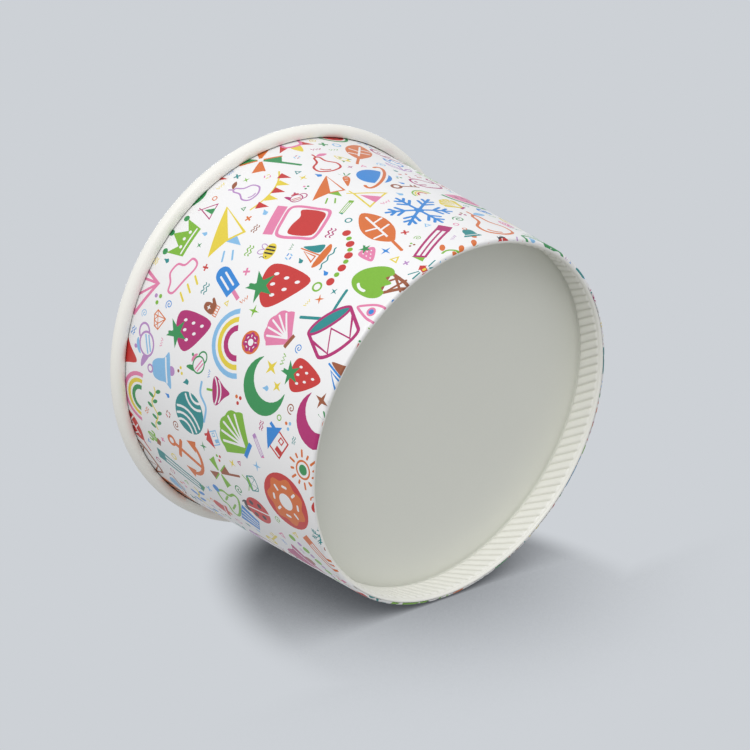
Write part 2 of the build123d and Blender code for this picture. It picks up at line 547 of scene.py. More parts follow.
def rocket(a, b):
    hull = curve(-1.5 - 2.4j, -1.9 + 0.6j, -1 + 3.2j, 4.7j, 1 + 3.2j, 1.9 + 0.6j, 1.5 - 2.4j)
    return (
        fill(b, [-1.4 - 0.6j, -3.2 - 3.2j, -1.2 - 2.5j], [1.4 - 0.6j, 1.2 - 2.5j, 3.2 - 3.2j])
        + fill("yellow", curve(-0.9 - 2.6j, -4.8j, 0.9 - 2.6j))
        + edged(a, hull)
        + edged(a, oval(0, 1.2, 0.95), b, width=0.4)
    )


def sunshine(a, b):
    turns = enumerate(np.linspace(0, fullTurn, 13)[:-1])
    rays = [[cmath.rect(3.2, t), cmath.rect(4.6 - 0.6 * (n % 2), t)] for n, t in turns]
    return line(a, *rays, width=0.6) + edged(a, oval(0, 0, 2.4)) + fill(b, oval(0, 0, 1.3))


def rainbow(a, b):
    layers = []
    for ink, radius in ((a, 4.6), ("paper", 3.9), ("yellow", 3.5), ("paper", 2.8), (b, 2.4), ("paper", 1.6)):
        layers += fill(ink, oval(0, -1.9, radius, radius, 0, 180))
    return layers


def scallop(a, b):
    turns = np.linspace(0, math.pi - 0.5, 30)
    rim = [cmath.rect(4.1 + 0.35 * abs(math.cos(4.5 * t)), t + 0.25) - 1.4j for t in turns]
    ribs = [[-3.2j, cmath.rect(3.7, t) - 1.4j] for t in np.linspace(0.7, math.pi - 0.7, 5)]
    return (
        fill(a, [1 - 3.9j] + rim + [-1 - 3.9j])
        + line("paper", *ribs, width=0.4)
        + fill(b, box(-1.5, -4.5, 1.5, -3.7))
    )


def paperPlane(a, b):
    return (
        fill(a, [-4.6 + 0.9j, 4.6 + 3.7j, -1.2 - 0.8j])
        + edged(a, [-1.2 - 0.8j, 4.6 + 3.7j, 1.4 - 3.2j], width=0.4)
        + fill(b, [-1.2 - 0.8j, -1 - 3.9j, 0.3 - 2.1j])
        + line(b, [-4.4 - 2.2j, -2.8 - 1.6j], [-3.6 - 3.9j, -2.2 - 3.1j], width=0.35)
    )


def feather(a, b):
    vane = curve(-2.6 - 2.6j, -2.4 + 0.6j, -0.2 + 3.2j, 3.6 + 4.3j, 3.3 + 0.9j, 1.2 - 1.6j, -1 - 2.6j)
    notches = [[-0.9 - 0.9j, -2.2 + 0.3j], [0.4 + 0.5j, -0.6 + 2.1j], [-0.1, 1.5 - 0.7j], [1.4 + 1.6j, 3 + 0.9j]]
    return (
        fill(a, vane)
        + line("paper", [-1.6 - 1.6j, 2.7 + 3.2j], *notches, width=0.35)
        + line(a, [-4.4 - 4.6j, -1.6 - 1.7j], width=0.5)
    )


def roomKey(a, b):
    return (
        fill(a, oval(-2.4, 2.4, 2.3))
        + fill("paper", oval(-2.4, 2.4, 1.2))
        + line(a, [-1 + 1j, 4.2 - 4.2j], [2.2 - 2.2j, 3.5 - 1j], [3.4 - 3.4j, 4.7 - 2.2j], width=0.8)
    )


def woolBall(a, b):
    upper = [oval(-3, 3, r, start=-45 - t, end=-45 + t) for r, t in ((2.3, 52), (3.4, 47), (4.5, 40))]
    lower = [oval(3, -3, r, start=135 - t, end=135 + t) for r, t in ((1.7, 50), (2.8, 46))]
    tail = curve(-1.5 - 3.3j, 0.6 - 4.6j, 2.8 - 3.9j, 4.6 - 4.6j, closed=False)
    return line(b, tail, width=0.45) + fill(a, oval(0, 0, 3.5)) + line("paper", *upper, *lower, width=0.4)


def pencil(a, b):
    return (
        fill(b, [-3.4 - 4.6j, -4.4 - 2.6j, -2.4 - 3.6j])
        + edged(a, [-4.3 - 2.8j, 1.5 + 3.1j, 3.3 + 1.9j, -2.6 - 4j], width=0.4)
        + fill(a, [1.2 + 2.7j, 2.3 + 4.1j, 4.1 + 2.9j, 3 + 1.5j])
        + line(a, [-3.3 - 3.3j, 2.2 + 2.3j], width=0.3)
    )


def spinningTop(a, b):
    return (
        line(b, [2j, 4.7j], width=0.7)
        + fill(a, curve(-4 + 1j, -2.6 + 2.4j, 2.6 + 2.4j, 4 + 1j, 1.6 - 2.2j, -4.6j, -1.6 - 2.2j))
        + line("paper", oval(0, 3.4, 4.6, 3, 218, 322), oval(0, 2, 4, 3, 222, 318), width=0.45)
    )


def pineapple(a, b):
    crossing = [[-2.4 + 0.2j, 1 - 4j], [-1.4 + 1.4j, 2.2 - 2.4j], [2.4 + 0.2j, -1 - 4j],
                [1.4 + 1.4j, -2.2 - 2.4j]]
    return (
        fill("green", star(5, 2.3, 0.7, 0, 2.8), [-0.7 + 2j, 4.9j, 0.7 + 2j])
        + edged(a, oval(0, -1.4, 2.9, 3.3))
        + line(a, *crossing, width=0.35)
    )


def rainCloud(a, b):
    puff = curve(-3.7 - 0.6j, -4.5 + 1j, -3 + 2.1j, -1.8 + 3.9j, 0.8 + 4j, 2 + 2.4j, 4.1 + 2.1j, 4.5 + 0.2j,
                 3.2 - 0.8j, -0.8j)
    return edged(a, puff) + line(b, *[[x - 2j, x - 0.5 - 3.9j] for x in (-2.2, 0.1, 2.4)], width=0.5)


def tent(a, b):
    return (
        edged(a, [-4.5 - 3.6j, 4.5 - 3.6j, 3.7j])
        + fill(b, [-1.7 - 3.6j, 1.7 - 3.6j, 1.6j])
        + line(a, [3.4j, -0.6 + 4.7j], [3.4j, 0.6 + 4.7j], width=0.4)
    )


def sock(a, b):
    shape = curve(1.9 + 4.2j, 1.9 + 0.4j, 1.3 - 2.2j, -1.2 - 4.2j, -3.5 - 4.1j, -3.6 - 2.4j, -1.8 - 1.1j,
                  -1.5 + 1j, -1.6 + 4.2j, closed=False)
    return (
        edged(a, shape)
        + line(b, [-1.1 + 3j, 1.4 + 3j], [-1 + 1.9j, 1.4 + 1.9j], width=0.5)
        + dots(b, 0.75, -2.4 - 3.1j)
    )


def whale(a, b):
    body = curve(-4.6 - 0.6j, -3.7 + 1.6j, -1.2 + 1.9j, 1.4 + 0.4j, 3 + 0.5j, 3.1 + 2.3j, 4.7 + 3j, 4.5 + 0.6j,
                 3.2 - 2.1j, 0.4 - 3.3j, -3.3 - 2.9j)
    spout = curve(-2 + 2.5j, -2 + 3.8j, -3.2 + 4.5j, closed=False)
    spouts = [spout, [complex(-4 - p.real, p.imag) for p in spout]]  # left white in the middle, as spray
    return (
        edged(a, body)
        + dots(a, 0.4, -3 + 0.2j)
        + line(a, [-3.9 - 1.4j, -1.8 - 1.5j], width=0.4)
        + line(b, *spouts, width=0.45)
        + line("paper", *[spout[3:8] for spout in spouts], width=0.5)
    )


def drum(a, b):
    shell = [3.6 + 1.5j, -3.6 + 1.5j] + oval(0, -2.3, 3.6, 1.4, 180, 360)
    return (
        line(b, [-0.7 + 2.2j, -3.6 + 4.5j], [0.7 + 2.2j, 3.6 + 4.5j], width=0.45)
        + edged(a, shell)
        + line(a, [-3.3 + 0.2j, -1.9 - 2.9j, -0.1 + 0.1j, 1.8 - 2.9j, 3.3 + 0.2j], width=0.4)
        + edged(a, oval(0, 1.5, 3.6, 1.1), b, width=0.4)
    )


def jamJar(a, b):
    glass = curve(-2.4 + 2.4j, -3.2 + 1.2j, -3.2 - 1.6j, -2.9 - 4j, -4.5j, 2.9 - 4j, 3.2 - 1.6j, 3.2 + 1.2j,
                  2.4 + 2.4j, 2.5j)
    jam = curve(-2.4 + 0.2j, -0.9 + 0.5j, 0.9 - 0.1j, 2.4 + 0.2j, 2.3 - 3.3j, -3.7j, -2.3 - 3.3j)
    return edged(a, glass) + fill(b, jam) + fill(a, box(-2.7, 2.7, 2.7, 4.3))


def sunHat(a, b):
    return (
        edged(a, oval(0, -1.5, 4.8, 1.6))
        + edged(a, oval(0, -1, 2.7, 3.9, 0, 180))
        + fill(b, [-2.7 - 1.1j, -0.9 - 1.4j, 0.9 - 1.4j, 2.7 - 1.1j, 2.6 + 0.1j, -0.2j, -2.6 + 0.1j])
    )


def lighthouse(a, b):
    beams = [[1.6 + 2.9j, 4.2 + 3.9j], [1.6 + 2.3j, 4.2 + 1.7j]]
    lowStripe = [-1.9 - 3.2j, 1.9 - 3.2j, 1.75 - 1.9j, -1.75 - 1.9j]
    highStripe = [-1.6 - 0.6j, 1.6 - 0.6j, 1.5 + 0.5j, -1.5 + 0.5j]
    return (
        fill(a, [-1.9 - 4.7j, 1.9 - 4.7j, 1.2 + 1.7j, -1.2 + 1.7j])
        + fill("paper", lowStripe, highStripe)
        + edged(a, box(-0.9, 1.9, 0.9, 3.3), "yellow", width=0.35)
        + fill(a, [-1.5 + 3.3j, 1.5 + 3.3j, 4.7j])
        + line(b, *beams, *[mirrored(beam) for beam in beams], width=0.4)
    )


def bee(a, b):
    return (
        edged(b, oval(-0.8, 2.5, 1.3, 2.1, turn=18), width=0.4)
        + edged(b, oval(1.6, 2.3, 1.2, 1.9, turn=-28), width=0.4)
        + fill(a, oval(0, -0.9, 3.8, 2.6))
        + line("black", [-1 + 0.9j, -1 - 2.7j], [0.6 + 1j, 0.6 - 2.8j], [2.1 + 0.5j, 2.1 - 2.3j], width=0.75)
        + dots("black", 0.35, -2.6 - 0.4j)
        + line("black", oval(-4.2, 1.2, 1.3, start=-50, end=60), width=0.3)
    )


def tulip(a, b):
    tips = [-2.2 + 4j, -1 + 2.6j, 4.4j, 1 + 2.6j, 2.2 + 4j]
    bowl = curve(2.5 + 1.6j, 1.5 - 0.3j, -0.8j, -1.5 - 0.3j, -2.5 + 1.6j, closed=False)
    blade = curve(0.1 - 4.6j, 1.3 - 2.3j, 3.2 - 0.6j, 2.7 - 3j)
    return (
        edged(a, tips + bowl)
        + line(b, [-0.8j, -4.7j], width=0.5)
        + edged(b, blade, width=0.4)
        + edged(b, mirrored(blade), width=0.4)
    )


def teapot(a, b):
    return (
        line(a, oval(2.5, -0.6, 2, 1.7, -100, 105), width=0.5)
        + fill(a, curve(-2 - 2j, -3.2 - 0.9j, -4.7 + 1.9j, -3.8 + 2j, -2.2 + 0.6j))
        + edged(a, oval(-0.1, -1, 2.9, 2.6))
        + line(b, [-2.1 - 1j, 1.9 - 1j], [-1.8 - 2j, 1.6 - 2j], width=0.45)
        + fill(b, oval(-0.1, 1.5, 1.8, 1, 0, 180))
        + dots(a, 0.5, -0.1 + 2.9j)
    )


def carrot(a, b):
    root = curve(-4.6 - 4.2j, -2.6 - 1j, -0.4 + 1.6j, 1.4 + 1.9j, 1.9 + 0.3j, -0.1 - 1.9j)
    tips = (1.4 + 4.7j, 3.4 + 3.9j, 4.6 + 2j)
    leaves = [curve(1.4 + 1.5j, tip - 0.5j, tip + 0.2, tip - 0.1 + 0.2j) for tip in tips]
    return (
        fill(a, root)
        + line("paper", [-1.4 - 0.4j, -0.6 - 1.1j], [0.1 + 0.9j, 0.9 + 0.1j], width=0.35)
        + fill("green", *leaves)
    )


def bunting(a, b):
    string = [complex(x, 0.07 * x * x) for x in np.linspace(-4.9, 4.9, 11)]
    layers = line(b, string, width=0.3)
    for n, x in enumerate((-3.8, -1.9, 0, 1.9, 3.8)):
        y = 0.07 * x * x
        layers += fill((a, b)[n % 2], [complex(x - 0.8, y), complex(x, y - 2.3), complex(x + 0.8, y)])
    return layers


def garland(a, b):
    layers = line(b, [complex(x, 0.7 * math.sin(1.2 * x)) for x in np.linspace(-4.8, 4.8, 25)], width=0.35)
    for n, x in enumerate(np.linspace(-4.2, 4.2, 8)):
        side = (-1) ** n
        layers += fill(a, oval(x, 0.7 * math.sin(1.2 * x) + side, 0.42, 0.85, turn=-24 * side))
    return layers


def beads(a, b):
    places = [complex(x, 0.08 * x * x - 0.6) for x in np.linspace(-4.4, 4.4, 9)]
    return dots(a, 0.62, *places[::2]) + dots(b, 0.4, *places[1::2])


def waveMark(a, b):
    strokes = [[complex(x, y + 0.9 * math.sin(1.5 * x)) for x in np.linspace(-4.2, 4.2, 22)] for y in (1.4, -1.6)]
    return line(a, *strokes, width=0.9)


def sparkle(a, b):
    return fill(a, star(4, 4.6, 1.2))


def smallRing(a, b):
    return edged(a, oval(0, 0, 3.6), width=1.3)


def cross(a, b):
    return fill(a, box(-1, -3.8, 1, 3.8), box(-3.8, -1, 3.8, 1))


def waterDrop(a, b):
    return fill(a, curve(4.5j, 1.4 + 1.2j, 2.8 - 1.6j, -4j, -2.8 - 1.6j, -1.4 + 1.2j))


def threeDots(a, b):
    return dots(a, 1.5, -2.4 - 1.6j, 2.6 - 1j) + dots(b, 1.5, 0.2 + 2.6j)


def sprinkles(a, b):
    return (
        line(a, [-3.6 + 0.6j, -1.6 + 3.4j], [1.4 - 3.6j, 3.4 - 1.2j], width=1.5)
        + line(b, [1.2 + 2.6j, 3.8 + 1.6j], [-3 - 2.2j, -0.8 - 3j], width=1.5)
    )


def curl(a, b):
    return line(a, [cmath.rect(0.5 + 0.42 * t, t) for t in np.linspace(0, 9.4, 34)], width=0.95)


def openTriangle(a, b):
    return edged(a, [-3.8 - 2.4j, 3.8 - 2.4j, 4j], width=1.1)


def zigzag(a, b):
    return line(a, [complex(x, 1.4 * (-1) ** n) for n, x in enumerate(np.linspace(-4.2, 4.2, 7))], width=1)


print("stage 2: drawings ready")

# The print: how big the drawings are, how they lie and what they are printed in, in mm and degrees
printed = {
    "seed": 41,
    "gap": 0.75,
    "cell": 0.35,
    "sizes": ((6.2, 7.4, 900), (4.6, 5.6, 4000), (3.3, 4.2, 8000), (2.3, 2.9, 9000)),  # from, to, tries
    "smallSizes": (0.8, 1.5, 16000),
    "drawingReach": 4.9,  # from a drawing's middle, in its own units
    "pastSides": 2,
    "pastFold": 1.5,
    "pastRoll": 1,
    "tilt": 32,
    "passOver": 0.04,  # how often a drawing that doesn't fit goes back in the deck
    "inkApart": 11,
    "trailStep": 0.6,
    "longestEdge": 1.8,
    "gridStep": 2.0,
    "rowStep": 3.2,
    "bendStep": 0.6,
    "finest": 0.001,
}
drawings = [
    iceCream, iceLolly, ringCake, muffin, wrappedSweet, umbrella, kite, sailboat, moon, butterfly, fish, mushroom,
    leaf, snail, strawberry, melonSlice, snowCrystal, jewel, crown, handBell, mitten, anchor, cottage, ringedPlanet,
    ladybird, pinwheel, acorn, pear, cactus, rocket, sunshine, rainbow, scallop, paperPlane, feather, roomKey,
    woolBall, pencil, spinningTop, pineapple, rainCloud, tent, sock, whale, drum, jamJar, sunHat, lighthouse, bee,
    tulip, teapot, carrot, bunting, garland, beads,
]
fillers = [waveMark, sparkle, smallRing, cross, waterDrop, threeDots, sprinkles, curl, openTriangle, zigzag]
inks = {
    "paper": "F3F2F2",
    "magenta": "B3206F",
    "red": "C9302C",
    "orange": "DB6F2B",
    "yellow": "E6CF3A",
    "lime": "7DB72F",
    "green": "2F9150",
    "teal": "1C8A8B",
    "blue": "2A86D6",
    "sky": "86BDE6",
    "pink": "E47FA9",
    "lilac": "B98BC4",
    "brown": "9A5534",
    "black": "2A2528",
}
inkOrder = list(inks)
inkWeights = {
    "magenta": 4, "red": 4, "orange": 3, "yellow": 3, "lime": 3, "green": 2, "teal": 3, "blue": 3, "sky": 3,
    "pink": 3, "lilac": 1, "brown": 1,
}
ownInks = {
    strawberry: ["red", "magenta", "pink"], melonSlice: ["red", "pink"], carrot: ["orange"],
    pineapple: ["orange", "yellow"], ladybird: ["red", "orange"], bee: ["yellow", "orange"],
    cactus: ["green", "lime", "teal"], acorn: ["brown", "orange"], snowCrystal: ["blue", "sky", "teal"],
    waterDrop: ["blue", "sky", "teal"], sunshine: ["orange", "red", "magenta"],
}
midRadius = abs(faceAt(faceLength / 2)[0].real)
sheetWidth = fullTurn * midRadius


def shortEdges(points, longest):
    # a closed outline whose long edges are divided, so that it can follow the round wall
    made = []
    for here, after in zip(points, points[1:] + points[:1]):
        pieces = max(1, math.ceil(abs(after - here) / longest))
        made += [here + (after - here) * n / pieces for n in range(pieces)]
    return made


def onBlank(points, x, y, spin):
    # a drawing's points put on the flat blank, true to shape where the cone is narrower
    turnedPoints = np.asarray(points) * spin
    run = y + turnedPoints.imag
    radius = faceAt(np.clip(run, 1, faceLength))[0].real
    return x + turnedPoints.real * midRadius / radius + 1j * run


def insideOutline(points, outline):
    # which points a closed outline winds round
    winding = np.zeros(len(points), int)
    for p, q in zip(outline, np.roll(outline, -1)):
        side = (q.real - p.real) * (points.imag - p.imag) - (points.real - p.real) * (q.imag - p.imag)
        winding += (p.imag <= points.imag) & (q.imag > points.imag) & (side > 0)
        winding -= (p.imag > points.imag) & (q.imag <= points.imag) & (side < 0)
    return winding != 0


def cellsBelow(points, taken):
    i = np.floor(points.real / printed["cell"]).astype(int)
    j = np.floor(points.imag / printed["cell"]).astype(int)
    held = (i >= 0) & (i < taken.shape[0]) & (j >= 0) & (j < taken.shape[1])
    return i[held], j[held]


def markTaken(taken, outlines, trail):
    # a drawing's cells and the gap round them count as printed from now on
    cell = printed["cell"]
    covered = [trail]
    for outline in outlines:
        wide, tall = (
            np.arange(math.floor(side.min() / cell), math.ceil(side.max() / cell)) + 0.5
            for side in (outline.real, outline.imag)
        )
        centres = (wide[:, None] + 1j * tall[None]).ravel() * cell
        covered.append(centres[insideOutline(centres, outline)])
    i, j = cellsBelow(np.concatenate(covered), taken)
    reach = printed["gap"] / cell
    steps = range(-math.ceil(reach), math.ceil(reach) + 1)
    for right in steps:
        for up in steps:
            if right * right + up * up <= reach * reach:
                taken[np.clip(i + right, 0, taken.shape[0] - 1), np.clip(j + up, 0, taken.shape[1] - 1)] = True


def printLayers():
    # every painted outline on the blank, in order: drawings of falling size, each where it clears the others
    dice = random.Random(printed["seed"])
    taken = np.zeros([math.ceil(side / printed["cell"]) for side in (sheetWidth, faceLength)], bool)
    trails = {
        drawing: [p for ink, points in drawing("black", "black") for p in shortEdges(points, printed["trailStep"])]
        for drawing in drawings + fillers
    }
    bands = [(*size, drawings) for size in printed["sizes"]] + [(*printed["smallSizes"], fillers)]
    layers = []
    placed = []
    for low, high, tries, choice in bands:
        deck = []
        for _ in range(tries):
            x = dice.uniform(-printed["pastSides"], sheetWidth + printed["pastSides"])
            y = dice.uniform(-printed["pastFold"], faceLength + printed["pastRoll"])
            here = complex(x, y)
            scale = dice.uniform(low, high) / printed["drawingReach"]
            spin = cmath.rect(scale, math.radians(dice.uniform(-printed["tilt"], printed["tilt"])))
            deck = deck or dice.sample(choice, len(choice))
            if taken[cellsBelow(np.array([here]), taken)].any():
                continue
            trail = onBlank(trails[deck[-1]], x, y, spin)
            if taken[cellsBelow(trail, taken)].any():
                if dice.random() < printed["passOver"]:
                    deck.insert(0, deck.pop())
                continue
            drawing = deck.pop()
            near = {ink for spot, ink in placed if abs(spot - here) < printed["inkApart"]}
            wanted = list(ownInks.get(drawing, inkWeights))
            free = [ink for ink in wanted if ink not in near] or wanted
            main = dice.choices(free, [inkWeights[ink] for ink in free])[0]
            second = dice.choice([ink for ink in inkWeights if ink != main])
            longest = printed["longestEdge"] / abs(spin)
            made = [(ink, onBlank(shortEdges(points, longest), x, y, spin)) for ink, points in drawing(main, second)]
            markTaken(taken, [points for ink, points in made], trail)
            layers += made
            placed.append((here, main))
    print("drawings on the blank:", len(placed), "outlines:", len(layers), "share taken:", round(taken.mean(), 3))
    return layers


def blankGrid():
    # columns and rows that the flat blank is divided by, closer together at its bends and its lap
    lapColumns = np.linspace(lap["width"], lap["width"] + lap["ramp"], 6) / cup["baseRadius"]
    wide = np.arange(0, 361, printed["gridStep"]) * math.pi / 180
    wide = wide[(wide < lapColumns[0] - 0.01) | (wide > lapColumns[-1] + 0.01)]
    columns = np.sort(np.concatenate([wide, lapColumns])) * midRadius
    foldEnd = faceLengths[foldSteps + 1]
    wallEnd = faceLengths[foldSteps + 2]
    fine = printed["bendStep"]
    rows = np.concatenate([
        [0], faceLengths[1:foldSteps + 2:4], np.arange(foldEnd + 0.7, 3, fine),
        np.arange(4, wallEnd - 3.4, printed["rowStep"]),
        np.arange(wallEnd - 3.2, wallEnd - 0.1, fine), faceLengths[foldSteps + 2::4],
    ])
    columns[-1] = sheetWidth
    rows[-1] = faceLength
    return columns, np.unique(np.round(rows, 5))


def cutBlank(layers):
    # one sheet of triangles whose edges follow every outline, and the ink that each triangle shows
    columns, rows = blankGrid()
    points = [(x, y) for y in rows for x in columns]
    wide = len(columns)
    tall = len(rows)
    edges = [(n, n + 1) for k in (0, tall - 1) for n in range(k * wide, k * wide + wide - 1)]
    edges += [(n * wide + k, (n + 1) * wide + k) for k in (0, wide - 1) for n in range(tall - 1)]
    for ink, outline in layers:
        first = len(points)
        count = len(outline)
        points += [(p.real, p.imag) for p in outline]
        edges += [(first + n, first + (n + 1) % count) for n in range(count)]
    made = delaunay_2d_cdt([Vector(p) for p in points], edges, [], 0, printed["finest"], False)

    # on a very fine grid that has the blank's borders on it, so that what lies outside is sure
    sheet = np.array((sheetWidth, faceLength))
    steps = np.round(sheet * 2 / printed["finest"]).astype(int)
    spots = np.round(np.array(made[0]) / sheet * steps).astype(int)
    spots, which = np.unique(spots, axis=0, return_inverse=True)
    flat = spots[:, 0] / steps[0] * sheetWidth + 1j * spots[:, 1] / steps[1] * faceLength
    faces = which.ravel()[np.array(made[2])]
    sums = spots[faces].sum(1)
    kept = ((sums > 0) & (sums < 3 * steps)).all(1)
    for k in range(3):
        kept &= faces[:, k] != faces[:, k - 1]
    faces = faces[kept]
    corners = flat[faces]
    middles = corners.mean(1)
    if ((corners[:, 1] - corners[:, 0]).conj() * (corners[:, 2] - corners[:, 0])).imag.sum() < 0:
        faces = faces[:, ::-1]
    shown = np.zeros(len(faces), int)
    for ink, outline in layers:
        near = np.flatnonzero(
            (middles.real > outline.real.min()) & (middles.real < outline.real.max())
            & (middles.imag > outline.imag.min()) & (middles.imag < outline.imag.max())
        )
        if len(near):
            shown[near[insideOutline(middles[near], outline)]] = inkOrder.index(ink)
    used, renumbered = np.unique(faces, return_inverse=True)
    return flat[used], renumbered.reshape(faces.shape), shown


def borderChains(flat, faces):
    # the sheet's four sides in turn, bottom, right, top and left, from the edges that one triangle has
    edges = np.concatenate([faces[:, [0, 1]], faces[:, [1, 2]], faces[:, [2, 0]]]).tolist()
    back = {(b, a) for a, b in edges}
    follow = {a: b for a, b in edges if (a, b) not in back}
    places = (0, sheetWidth, complex(sheetWidth, faceLength), complex(0, faceLength))
    corners = [min(follow, key=lambda n: abs(flat[n] - place)) for place in places]
    chains = []
    for start, end in zip(corners, corners[1:] + corners[:1]):
        chain = [start]
        while chain[-1] != end:
            chain.append(follow[chain[-1]])
        chains.append(chain)
    return chains


def knurlLead(height):
    # how far the slanted ribs have turned round the cup at a height
    return (height - knurl["low"]) * math.tan(math.radians(knurl["slant"])) / cup["baseRadius"]


def ribWave(count):
    # the ribs round one row: 1 on a rib, 0 at the bottom of a groove
    places = np.arange(count) * knurl["ribs"] / count
    return smoothStep(0, knurl["groove"], np.abs(np.mod(places, 1) - 0.5))


def ringSection():
    # the rest of the section after the printed face, and how many of its rows come before the knurl.
    # A row is a point, how far its columns lead, and its shares of ribs, of bump on the bead and of lap inside
    rows = []

    def add(points, lead=0, ribs=0, bead=0, inside=0):
        rows.extend((point, lead, ribs, bead, inside) for point in points)

    rollEnd = rollStart - cup["curlTurn"]
    endCentre = curlCentre + cmath.rect((rollInside + cup["curlRadius"]) / 2, math.radians(rollEnd))
    add(arcPath(curlCentre, rollInside, rollStart - 60, rollEnd, 10))
    add(arcPath(endCentre, cup["board"] / 2, rollEnd + 180, rollEnd, 4)[1:-1])
    add(arcPath(curlCentre, cup["curlRadius"], rollEnd, rollStart, 28), bead=1)
    add([wallPoint(cup["board"], height) for height in (56.8, 55, 30, 9.6)], inside=1)
    add([wallPoint(cup["board"], height) for height in (8.2, 1.0, 0.45)])
    hemBack = hemFace - cup["board"]
    add([wallPoint(hemBack, 0.45)])
    plainRows = len(rows)
    top = cup["hemHeight"]
    for height, lead in zip((1.0, 3.0, 5.0, top - 0.12), np.linspace(0, knurlLead(top), 4)):
        add([wallPoint(hemBack, height)], lead=lead)
    add([wallPoint(hemBack + 0.1, top), wallPoint(hemFace - 0.06, top)], lead=knurlLead(top))
    fading = np.linspace(knurl["low"] + knurl["fade"], knurl["low"], 4)
    heights = (top - 0.1, top - 0.5, 5.0, 4.0, 3.0, 2.2, *fading)
    for height, share in zip(heights, (0.55, 1, 1, 1, 1, 1, 1, 0.75, 0.3, 0)):
        add([wallPoint(hemFace, height)], lead=knurlLead(height), ribs=share)
    add(arcPath(foldInner, cup["foldRadius"], rollStart, 270, 6))
    return rows, plainRows


def ringRow(row, count):
    # one row turned round the axis, in mm, with its ribs, its bump on the bead or the lap inside
    point, lead, ribs, bead, inside = row
    angle = fullTurn * np.arange(count) / count + lead
    inward = cmath.rect(1, math.radians(rollStart))
    section = point + inward * ribs * (knurl["skin"] + knurl["relief"] * ribWave(count))
    seam = np.mod(angle, fullTurn)
    flat = lap["width"] / cup["baseRadius"]
    if bead:
        out = (point - curlCentre) / abs(point - curlCentre)
        hump = smoothStep(0, 0.035, seam) * (1 - smoothStep(flat, flat + 0.05, seam))
        section = section + out * lap["onBead"] * hump * (1 - max(0, out.imag))
    if inside:
        section = section + inward * lap["inside"] * smoothStep(-0.001, 0.05, seam) * (seam < flat)
    return turned(section, angle)


def zipLists(a, b):
    # triangles between two lines of corners that run side by side; a corner is (vertex, key, height)
    faces = []
    i = 0
    j = 0
    while i < len(a) - 1 or j < len(b) - 1:
        if j == len(b) - 1 or (i < len(a) - 1 and a[i + 1][1] <= b[j + 1][1]):
            faces.append((a[i], a[i + 1], b[j]))
            i += 1
        else:
            faces.append((a[i], b[j + 1], b[j]))
            j += 1
    return [f for f in faces if len({corner[0] for corner in f}) == 3]


# The flat map of the sidewall: heights are shares of the map, the margin is mm of blank
flatMap = {
    "margin": 3,
    "strip": 0.46,
    "ringsLow": 0.925,
    "ringsTall": 0.07,
    "seam": (0.9965, 0.9985),
}


def buildWall():
    # the whole sidewall as one closed mesh: printed face, then the ring of everything else
    flat, faceTriangles, shown = cutBlank(printLayers())
    angle = flat.real / midRadius
    section, normal = faceAt(flat.imag)
    rise = lapRise(angle, section.imag)
    rise[np.abs(flat.real - sheetWidth) < 1e-3] = 0
    nudge = 1e-3
    slopeRise = (lapRise(angle + nudge, section.imag) - lapRise(angle - nudge, section.imag)) / (2 * nudge)
    azimuth = angle + math.radians(lap["azimuth"])
    along = np.stack([-np.sin(azimuth), np.cos(azimuth), 0 * azimuth], -1)
    faceCount = len(flat)
    positions = [turned(section + normal * rise, angle)]
    normals = [turned(normal, angle) - along * (slopeRise / section.real)[:, None]]
    # painted shade for the knurl's grooves, per vertex: none on the printed face
    pressed = [np.zeros(faceCount)]

    # the blank's corners meet at the seam's two ends
    bottom, right, top, left = borderChains(flat, faceTriangles)
    same = np.arange(faceCount)
    same[right[0]] = bottom[0]
    same[right[-1]] = left[0]

    def closedEdge(edge, height):
        return [(int(same[n]), float(angle[n]), height) for n in edge]

    # the rest as rings: rows without ribs have fewer columns
    rows, plainRows = ringSection()
    padded = [(faceSection[-1], 0, 0, 0, 0)] + rows + [(faceSection[0], 0, 0, 0, 0)]
    runs = np.cumsum(np.abs(np.diff([row[0] for row in padded])))
    heights = [flatMap["ringsLow"] + flatMap["ringsTall"] * run / runs[-1] for run in runs]
    lines = [closedEdge(top[::-1], flatMap["ringsLow"])]
    used = faceCount
    for n, row in enumerate(rows):
        count = cup["columns"] if n < plainRows else cup["knurlColumns"]
        here = ringRow(row, count)
        across = ringRow(padded[n + 2], count) - ringRow(padded[n], count)
        positions.append(here)
        normals.append(np.cross(np.roll(here, -1, 0) - np.roll(here, 1, 0), across))
        # the deeper in a groove, the more painted shade
        pressed.append(row[2] * (1 - ribWave(count)))
        lines.append([(used + k % count, fullTurn * k / count, heights[n]) for k in range(count + 1)])
        used += count
    lines.append(closedEdge(bottom, heights[-1]))

    sides = [
        [(int(same[n]), float(flat.imag[n]), height) for n in edge]
        for edge, height in zip((left[::-1], right), flatMap["seam"])
    ]
    normals = np.concatenate(normals)
    return {
        "positions": np.concatenate(positions),
        "normals": normals / np.linalg.norm(normals, axis=1)[:, None],
        "pressed": np.concatenate(pressed),
        "triangles": same[faceTriangles],
        "shown": shown,
        "flat": flat[faceTriangles],
        "rows": rows,
        "bands": [zipLists(before, after) for before, after in zip(lines, lines[1:])],
        "seam": zipLists(*sides),
    }


